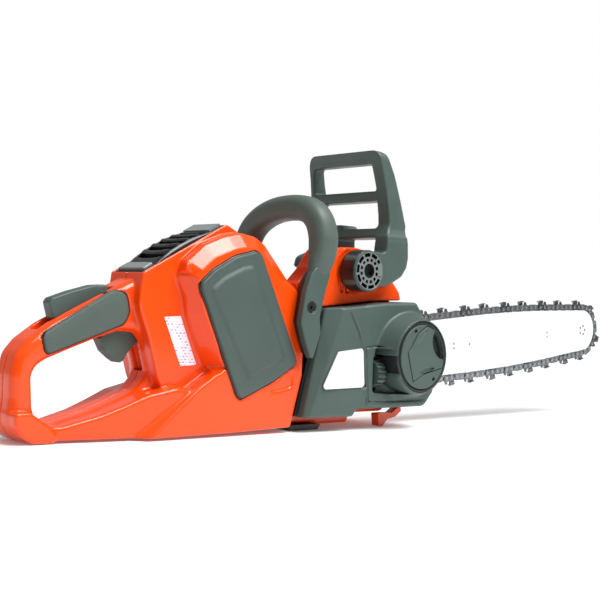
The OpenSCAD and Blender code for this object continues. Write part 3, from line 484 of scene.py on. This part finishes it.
v, f = bracket_l()
obj_from("bracket_foot", v, f, M["grey"], "saw_body", replaces=("handle_bracket",))

# ------------------------------------------------------------------- guard
g_side = [[393,289],[402,289],[409,286],[419.5,264],[427.5,238],[434.5,212],[432,197],[433,178],[431,168],[424,159],[406,150],[400,150],[401,188],
  [403,201],[409,212],[408.7,222],[405.5,247],[401.7,264],[397,281],[395,286]]
def guard():
    g = Grid((350, -71, 138), (438, 66, 291), 0.95)
    sp = g.o(rpoly(g_side, [2,4,5,10,10,6,6,6,5,5,5,0,5,6,8,6,10,10,6,4]))
    outer = rpoly([[-67,150],[-67,193],[-61.5,207],[-58.2,247],[-54.5,289],[53.5,289],[58.3,247],[61,222],[61,211],[54,198],[24.5,198],[24.5,150]],
                  [0,4,8,20,12,16,10,5,4,4,1,0])
    w1 = rpoly([[-42.5,247.5],[-40,275],[46,275],[50,262],[51,247.5]], [3,3,6,8,3])
    w2 = rpoly([[-43.5,208.5],[-42.5,237],[51.5,237],[52.5,222],[49,210],[28,209],[25,213.5],[12,213.5],[8,208.5]], [4,2,4,4,4,2,2,2,2])
    w3 = rpoly([[-47,120],[-47,198],[12,198],[12,120]], [0,3,2,0])
    fr = g.oyz(outer)
    for w in (w1, w2, w3):
        fr = smax(fr, -g.oyz(w), 1.0)
    d = smax(sp, fr, 2.6)
    low = rpoly([[374,141],[392,147],[400,147],[407,149],[424,158.5],[431,168],[433,178],[431.5,200],[402,200],[401,190],[400,184],[396,181.5],[374,183],[356,176],[353,162],[356,148]],
                [2,4,4,6,6,6,8,2,2,4,4,4,6,9,9,9])
    lo = g.o(low)
    armr = ext(lo, np.maximum(g.Y+48.8, -66.2-g.Y), 1.6)
    arml = ext(np.maximum(lo, 156-g.Z-0.5*(g.X-374)*(g.X < 388)-20*(g.X >= 388)), np.maximum(g.Y-24.5, 12-g.Y), 1.2)
    d = smin(d, armr, 2.5); d = smin(d, arml, 2.5)
    rr = g.cyl(HX, HZ)
    d = smin(d, ext(rr-20.8, np.maximum(g.Y+48, -68.6-g.Y), 1.0), 0.8)
    d = smin(d, ext(rr-8.5, np.maximum(g.Y-27, 11-g.Y), 1.0), 0.8)
    d = np.maximum(d, -np.maximum(rr-19.3, g.Y+62.5))
    d = np.maximum(d, -np.maximum(rr-5.3, np.maximum(g.Y+40, -70-g.Y)))
    d = np.maximum(d, -np.maximum(rr-5.3, np.maximum(g.Y-22, 9-g.Y)))
    return g.mesh(d.astype(np.float32), 2)
v, f = guard()
obj_from("guard_frame", v, f, M["grey"], "guard", replaces=("hand_guard",))

# hub face: a relief disc, with a slotted outer ring and a ring of small windows
def relief_disc(name, cx, cz, R, y0, back, depth, mat, body, nr=90, na=720):
    r = np.linspace(0.3, R, nr); a = np.arange(na)*2*np.pi/na
    RR, AA = np.meshgrid(r, a, indexing="ij")
    D = depth(RR, AA)
    X = cx+RR*np.cos(AA); Z = cz+RR*np.sin(AA); Yv = y0+D
    V = np.stack([X, Yv, Z], -1).reshape(-1, 3)
    i, j = np.meshgrid(np.arange(nr-1), np.arange(na), indexing="ij"); k = (j+1) % na
    Q = np.stack([i*na+j, (i+1)*na+j, (i+1)*na+k, i*na+k], -1).reshape(-1, 4)
    n0 = len(V)
    back_ring = np.stack([cx+R*np.cos(a), np.full(na, back), cz+R*np.sin(a)], 1)
    V = np.vstack([V, back_ring, [[cx, back, cz]], [[cx, y0+float(D[0, 0]), cz]]])
    j = np.arange(na); k = (j+1) % na
    Q2 = np.stack([(nr-1)*na+j, n0+j, n0+k, (nr-1)*na+k], 1)
    cb, cf = n0+na, n0+na+1
    tris = [(n0+int(q), cb, n0+int(w)) for q, w in zip(j, k)]+[(cf, int(q), int(w)) for q, w in zip(j, k)]
    return obj_mixed(name, V, np.vstack([Q, Q2]), tris, mat, body, angle=35)
def stepf(x, w=0.12): return np.clip(x/w*0.5+0.5, 0, 1)
def hubd(R, A):
    deg = np.degrees(A) % 360
    d = np.zeros_like(R)
    seg = np.abs((deg-12) % 36-18)
    arc = stepf(R-14.6)*stepf(18.0-R)*stepf((14.0-seg)*R/57.3)*(1-stepf(24-np.abs((deg-6+180) % 360-180), 1))
    win = np.abs(deg % 30-15)
    sq = stepf(R-9.6)*stepf(12.6-R)*stepf((8.6-win)*R/57.3)
    hole = stepf(7.2-R)
    return 5.5*np.maximum(np.maximum(arc, sq), hole)-0.25*stepf(R-18.4)+0.3*stepf(R-13.0)*stepf(14.2-R)
hub = relief_disc("hub_face", HX, HZ, 19.25, -68.4, -61.0, hubd, M["hub"], "guard", nr=120, na=900)
# painted shade: faces recessed deeper than depth (window floors, the disc's side wall) get the black material
def paint_shade_below(o, depth):
    me = o.data; me.materials.append(M["black"])
    n = len(me.polygons); c = np.zeros(n*3); me.polygons.foreach_get("center", c)
    nrm = np.zeros(n*3); me.polygons.foreach_get("normal", nrm)
    y = c.reshape(-1, 3)[:, 1]/0.001+OY
    me.polygons.foreach_set("material_index", ((y > depth) & (np.abs(y+61) > 0.3)).astype(np.int32))
# painted shade in the hub's windows and on its side wall
paint_shade_below(hub, -67.2)
# black sleeve over the hub barrel: painted shade on its rear-facing side
def hub_shade_sleeve_mesh():
    g = Grid((350, -68.5, 138), (398, -45, 186), 0.8)
    rr = g.cyl(HX, HZ)
    return g.mesh(ext(np.maximum(rr-21.3, 20.2-rr), np.maximum(-66.4-g.Y, g.Y+47.4), 0.3).astype(np.float32), 1)
v, f = hub_shade_sleeve_mesh()
v = v[:]; obj_from("hub_sleeve", v, f, M["black"], "guard")

# ----------------------------------------------------------- motor housing
motor_lo = [[299,6.2],[315,72],[301,114],[302,134],[450,134],[453,126],[455,30],[446,14],[396,14],[392,4],[345.5,4],[345.5,6.2]]
motor_hi = [[302,128],[302,146],[318,162],[331,181],[337,184],[379,186],[392,184],[434,155],[446,143],[450,132],[450,120],[302,120]]
def motor():
    g = Grid((295, -48, 0), (458, 47, 190), 1.25)
    lo = g.o(rpoly(motor_lo, [0,6,6,2,6,6,8,8,4,2,2,0])); hi = g.o(rpoly(motor_hi, [0,6,8,10,6,20,8,14,8,3,0,0]))
    d = ext(lo, np.maximum(g.Y-44, -27-g.Y), 3.0)
    yy = np.maximum(g.Y+18, -45-g.Y)
    dh = ext(hi, yy, 4.0)
    dh = smin(dh, ext(np.maximum(hi, 360-g.X), np.maximum(g.Y-10, -45-g.Y), 3.0), 1.0)
    dh = smin(dh, ext(np.maximum(hi, np.maximum(g.X-348, g.Z-146)), np.maximum(g.Y-31, -45-g.Y), 3.0), 1.0)
    zl = np.interp(g.x, [300, 332.4, 332.6, 404, 450], [129.6, 129.6, 124.0, 132.0, 134.2])[:, None, None]
    dh = smax(dh, zl-g.Z-200*(g.Y > -27.5), 0.5)
    d = smin(d, dh, 1.5)
    rr = g.cyl(HX, HZ)
    # round seats behind the hub
    d = smax(d, -ext(rr-22.5, g.Y+43.6, 0.6), 0.8)
    # corner windows below the hub
    for i in range(2):
        x0 = 358+7.2*i
        w = rpoly([[x0,139],[x0+4.6,139],[x0+1.6,148],[x0-3.0,148]], 0.5)
        d = np.maximum(d, -np.maximum(g.o(w), g.Y+40))
    sh = np.maximum(d, -(d+3.0))
    sh = np.maximum(sh, -np.maximum(g.cyl(SX, SZ)-34.5, g.Y+20))
    sh = np.maximum(sh, -np.maximum(g.o([[296,130],[334.5,130],[334.5,195],[296,195]]), g.Y+40.4))
    sh = np.maximum(sh, -np.maximum(g.cyl(344, 46)-11.2, 38-g.Y))
    sh = np.maximum(sh, -np.maximum(g.cyl(HX, HZ)-4.2, -100+0*g.Y))
    for i in range(7):
        sh = np.maximum(sh, -np.maximum(g.o(rpoly([[312+8*i,96],[316+8*i,96],[316+8*i,122],[312+8*i,122]], 1.8)), 38-g.Y))
    sh = smin(sh, ext(g.cyl(KX, KZ)-8.8, np.maximum(g.Y+25, -33.3-g.Y), 0.8), 0.8)
    return g.mesh(sh.astype(np.float32), 3)
v, f = motor()
obj_from("motor_shell", v, f, M["orange"], "saw_body", replaces=("motor_housing",))

# ---------------------------------------------------------- sprocket cover
cov = [[304,14.5],[366,14.5],[372,21.5],[466,22.5],[479,37],[481,45],[458.5,121],[449,132.5],[404,130.5],[332,122.5]]
def cover():
    g = Grid((283, -88.5, 11), (484, -26, 136), 0.95)
    c = g.o(rpoly(cov, [3,3,2,10,6,8,6,5,20,5]))
    # the face leans outwards towards the front
    w = np.interp(g.x, [304, 330, 376, 384, 470], [57.5, 60.8, 62.6, 64.0, 69.5])[:, None, None]
    out = ext(c, np.maximum(-g.Y-w, g.Y+28), 1.2)
    out = smax(out, (c*0.72+(-g.Y-w)*0.69)+1.6, 1.2)
    # broad bevel along the rear edge
    n1 = np.array([36.5, 100.5]); L1 = float(np.hypot(*n1))
    rb = -((g.X-310)*n1[1]-(g.Z-18)*n1[0])/L1
    out = smax(out, (rb*0.60+(-g.Y-w)*0.80)+0.2, 0.8)
    rr = g.cyl(KX, KZ)
    # collar round the knob: a cone that ends in a thin rim
    cone = np.maximum((rr-38.2-np.clip((g.Y+86)*0.42, 0, 12))*0.92, -g.Y-86.2)
    cone = smax(cone, g.Y+30, 0.5)
    out = smin(out, smax(cone, c-10, 1), 2.2)
    # well beside the knob with the tension wheel
    rec2 = g.o(rpoly([[392,84],[391,38],[418,37],[436,37],[440,60],[428,84]], [4,5,6,6,4,4]))
    out = smax(out, -smax(np.maximum(rec2, (g.Y+52.5)+0.55*np.clip(404-g.X, 0, 12)+0.62*np.clip(g.X-407, 0, 22)), 39.6-rr+0*g.Y, 1.6), 1.0)
    d = out
    sl = g.o(rpoly([[389.8,38],[406.5,38],[406.5,77],[389.8,77]], 5))
    inner = np.minimum(out+2.8, np.maximum(c+2.8, -g.Y-40))
    d = np.maximum(d, -inner)
    d = np.maximum(d, -np.maximum(sl, g.Y+44))
    # seat of the panel
    pn = g.o(rpoly([[320.3,46.5],[340.4,79.5],[345,81],[375.6,81.9],[382,44],[379,42.8],[324,42.5]], [3,6,3,3,3,2,3]))
    d = smax(d, -ext(pn-0.3, g.Y+61.6, 0.3), 0.4)
    # knob well
    d = np.maximum(d, -np.maximum(rr-37.1, g.Y+63))
    d = np.maximum(d, -np.maximum(rr-13, g.Y+40))
    # front mouth
    d = np.maximum(d, -np.maximum(g.o([[440,25.6],[440,129],[500,129],[500,25.6]]), -43-g.Y))
    def groove(p, q, wd, dp):
        p = np.array(p, float); q = np.array(q, float); e = q-p; L = e@e
        t = np.clip(((g.X-p[0])*e[0]+(g.Z-p[1])*e[1])/L, 0, 1)
        dd = np.sqrt((g.X-p[0]-t*e[0])**2+(g.Z-p[1]-t*e[1])**2)
        return np.maximum(dd-wd, (g.Y+w-dp))
    for a, b in (((357,119),(369,100)),((369,100),(376,83)),((379.5,84),(385,29)),((385,29),(466,29.5)),((379.5,84.5),(397,86)),((381.5,26),(383,40))):
        d = smax(d, -groove(a, b, 0.7, 1.5), 0.3)
    return g.mesh(d.astype(np.float32), 2)
v, f = cover()
obj_from("cover_shell", v, f, M["grey"], "saw_body", replaces=("sprocket_cover",))

# -------------------------------------------------------------- clamp knob
th18 = math.radians(18)
def knob_parts():
    g = Grid((401, -90.6, 37), (479, -60, 116), 0.62)
    rr = g.cyl(KX, KZ)
    xl = (g.X-KX)*math.cos(th18)+(g.Z-KZ)*math.sin(th18)
    face = -87.0
    body = ext(rr-33.4, np.maximum(face-g.Y, g.Y+63.5), 0.7)
    # finger hollow at the front of the face
    moon = np.sqrt((g.X-473)**2+(g.Z-93)**2)-19.5+0*g.Y
    fl = g.o(rpoly([[414,75],[431,99.5],[444,107.5],[462,110],[482,84],[474,66],[441,58],[424,50],[410,58],[406,70]], [2,2,3,6,6,2,6,2,6,6]))
    fl = np.maximum(fl, rr-32.0)
    seat = np.maximum(fl-0.95, g.Y*0+(g.Y+83.6))
    seat = np.maximum(seat, -xl-21.6)
    body = np.maximum(body, -seat)
    under = np.maximum(np.maximum(np.abs(xl+18.5)-6.5, rr-31), np.maximum(-84.6-g.Y, g.Y+78.0))
    body = np.maximum(body, -np.maximum(under, fl-1.5))
    body = np.maximum(body, -np.maximum(np.maximum(moon, rr-32.6), g.Y+79.5))
    for hx, hz in ((427.7,102.8),(457.8,53.0)):
        hd = np.sqrt((g.X-hx)**2+(g.Z-hz)**2)
        body = np.maximum(body, -np.maximum(hd-2.1, g.Y+82))
    flap = np.maximum(ext(fl, np.maximum(-87.6-g.Y, g.Y+83.9), 0.5), -xl-21.0)
    flap = smax(flap, -np.maximum(moon, g.Y+80), 0.5)
    lens = np.maximum(np.sqrt(((g.X-447)/11)**2+((g.Z-61.8-0.22*(g.X-447))/2.4)**2)-1, 0*g.Y+(g.Y+85.6))
    flap = np.maximum(flap, -lens*2)
    gr = np.abs((g.X-434)*0.80-(g.Z-98)*0.60)-0.0
    seg = np.maximum(np.abs((g.X-437)*(-0.72)+(g.Z-97)*0.69)-0.75, np.abs((g.X-437)*0.69+(g.Z-97)*0.72)-9)
    flap = np.maximum(flap, -np.maximum(seg, g.Y+86.3))
    seg2 = np.maximum(np.abs((g.X-423)*(-0.85)+(g.Z-88)*0.52)-0.55, np.abs((g.X-423)*0.52+(g.Z-88)*0.85)-7)
    flap = np.maximum(flap, -np.maximum(seg2, g.Y+86.8))
    return g.mesh(body.astype(np.float32), 1), g.mesh(flap.astype(np.float32), 1), g
(bv, bf), (pv, pf), _g = knob_parts()
obj_from("knob_body", bv, bf, M["grey"], "knob", replaces=("clamp_knob",))
obj_from("knob_flap_plate", pv, pf, M["grey"], "flap", replaces=("knob_flap",))
def ringmesh():
    g = Grid((400, -87.5, 35), (480, -60, 117), 0.7)
    rr = g.cyl(KX, KZ)
    a = np.maximum(np.maximum(rr-36.9, 33.6-rr), np.maximum(-85.4-g.Y, g.Y+62))
    moon = np.sqrt((g.X-473)**2+(g.Z-93)**2)-19.2
    b = np.maximum(np.maximum(moon, rr-32.6), np.maximum(-81.2-g.Y, g.Y+79.7))
    return g.mesh(np.minimum(a, b).astype(np.float32), 1)
v, f = ringmesh()
obj_from("ring_seal", v, f, M["black"], "knob", replaces=("knob_ring",))

# ----------------------------------------------------------------- battery
def battery():
    g = Grid((-2, -25, -88), (104, 25, 9), 1.0)      # t, y, n in the battery's own frame
    ay = np.abs(g.Y)
    top = 6.0*np.clip(1-((g.X-51)/35)**2, 0, 1)**0.8 - 0.0
    top = top*np.clip((23.5-ay)/4.0, 0, 1)**0.5
    d = np.maximum(np.maximum(-g.X, g.X-102), np.maximum(ay-23.4, np.maximum(-g.Z-86, (g.Z-top)*0.9)))
    bx = ext(np.maximum(-g.X, g.X-102), np.maximum(ay-23.4, -g.Z-86), 2.0)
    d = smax(d, bx, 0.8)
    for i in range(5):
        t0 = 27+12*i
        c = np.abs(g.X-t0-0.010*(g.Y**2)*0.6)-3.6
        d = smax(d, -np.maximum(np.maximum(c, ay-20.5), -g.Z-4+top*0.25), 0.6)
    # seats of the latch and the end piece
    d = np.maximum(d, -np.maximum(np.maximum(np.abs(g.X-9.2)-6.3, ay-20.3), -g.Z-6.6))
    d = np.maximum(d, -np.maximum(np.maximum(np.abs(g.X-92.5)-7.7, ay-20.7), -g.Z-0.0))
    v, f = g.mesh(d.astype(np.float32), 2)
    P_ = np.stack([131.5+v[:, 0]*math.cos(bs)-v[:, 2]*math.sin(bs), v[:, 1], 149+v[:, 0]*math.sin(bs)+v[:, 2]*math.cos(bs)], 1)
    return P_, f
v, f = battery()
obj_from("battery_case", v, f, M["black"], "battery", replaces=("battery_pack",))

# ------------------------------------------------------------ camera, light
C = np.array([-420.64, -838.68, 124.67]); Fw = np.array([0.67338702, 0.73927519, 0.00470223])
R_ = np.array([0.73852446, -0.67296539, 0.04122144]); U_ = np.array([-0.03363843, 0.02428527, 0.99913897])
cam = bpy.data.cameras.new("camera"); cam.lens = 65.71; cam.sensor_width = 36; cam.sensor_fit = "HORIZONTAL"
cam.clip_start = 0.01; cam.clip_end = 50
co = bpy.data.objects.new("camera", cam); bpy.context.scene.collection.objects.link(co)
Mx = Matrix(((R_[0], U_[0], -Fw[0], 0), (R_[1], U_[1], -Fw[1], 0), (R_[2], U_[2], -Fw[2], 0), (0, 0, 0, 1)))
Mx.translation = Vector(to_row(C)); co.matrix_world = Mx
bpy.context.scene.camera = co

fm = bpy.data.meshes.new("floor")
S = 6.0
fm.from_pydata([(-S, -S, 0), (S, -S, 0), (S, S, 0), (-S, S, 0)], [], [(0, 1, 2, 3)])
fl = bpy.data.objects.new("floor", fm); bpy.context.scene.collection.objects.link(fl)
m_, nt_, b_ = mat_new("floor_paper")
b_.inputs["Base Color"].default_value = (0.92, 0.92, 0.925, 1); b_.inputs["Roughness"].default_value = 0.6
b_.inputs["Emission Color"].default_value = (1, 1, 1, 1); b_.inputs["Emission Strength"].default_value = 0.10
fm.materials.append(m_); fl.location = (0, 0, -0.0004)

wd = bpy.data.worlds.new("studio"); bpy.context.scene.world = wd; wd.use_nodes = True
wn = wd.node_tree; bg = wn.nodes["Background"]; bg.inputs["Color"].default_value = (1, 1, 1, 1); bg.inputs["Strength"].default_value = 0.42
bg2 = wn.nodes.new("ShaderNodeBackground"); bg2.inputs["Color"].default_value = (1, 1, 1, 1); bg2.inputs["Strength"].default_value = 1.0
lp = wn.nodes.new("ShaderNodeLightPath"); mx = wn.nodes.new("ShaderNodeMixShader")
wn.links.new(lp.outputs["Is Camera Ray"], mx.inputs[0]); wn.links.new(bg.outputs[0], mx.inputs[1]); wn.links.new(bg2.outputs[0], mx.inputs[2])
wn.links.new(mx.outputs[0], wn.nodes["World Output"].inputs["Surface"])
sun = bpy.data.lights.new("sun", "SUN"); sun.energy = 2.75; sun.angle = math.radians(35)
so = bpy.data.objects.new("sun", sun); bpy.context.scene.collection.objects.link(so)
so.rotation_euler = (Vector((0, 0, 0))-Vector((0.30, -0.85, 1.25))).to_track_quat("-Z", "Y").to_euler()
bpy.context.scene.view_settings.view_transform = "Standard"
bpy.context.scene.view_settings.look = "None"
def area(name, loc, target, size, energy, col=(1, 1, 1)):
    l = bpy.data.lights.new(name, "AREA"); l.shape = "RECTANGLE"; l.size = size[0]; l.size_y = size[1]; l.energy = energy; l.color = col
    o = bpy.data.objects.new(name, l); bpy.context.scene.collection.objects.link(o)
    o.location = loc; o.rotation_euler = (Vector(target)-Vector(loc)).to_track_quat("-Z", "Y").to_euler()
area("top", (0.08, -0.62, 1.15), (-0.15, -0.04, 0.15), (0.9, 0.4), 9)
# dark cards out of the camera's view keep the side reflections deep
def card(name, c, n, w, h, v):
    me = bpy.data.meshes.new(name); n = Vector(n).normalized(); u = n.cross(Vector((0, 0, 1))).normalized(); k = u.cross(n)
    c = Vector(c)
    me.from_pydata([tuple(c+u*a*w/2+k*b*h/2) for a, b in ((-1, -1), (1, -1), (1, 1), (-1, 1))], [], [(0, 1, 2, 3)])
    o = bpy.data.objects.new(name, me); bpy.context.scene.collection.objects.link(o)
    m_, nt_, b_ = mat_new(name+"_cloth"); b_.inputs["Base Color"].default_value = (v, v, v, 1); b_.inputs["Roughness"].default_value = 0.9
    me.materials.append(m_); o.visible_camera = False
card("card_back", (-1.35, -1.45, 0.45), (0.7, 0.72, 0), 3.2, 0.9, 0.10)
card("card_right", (1.4, -1.3, 0.4), (-0.6, 0.8, 0), 1.8, 0.8, 0.16)

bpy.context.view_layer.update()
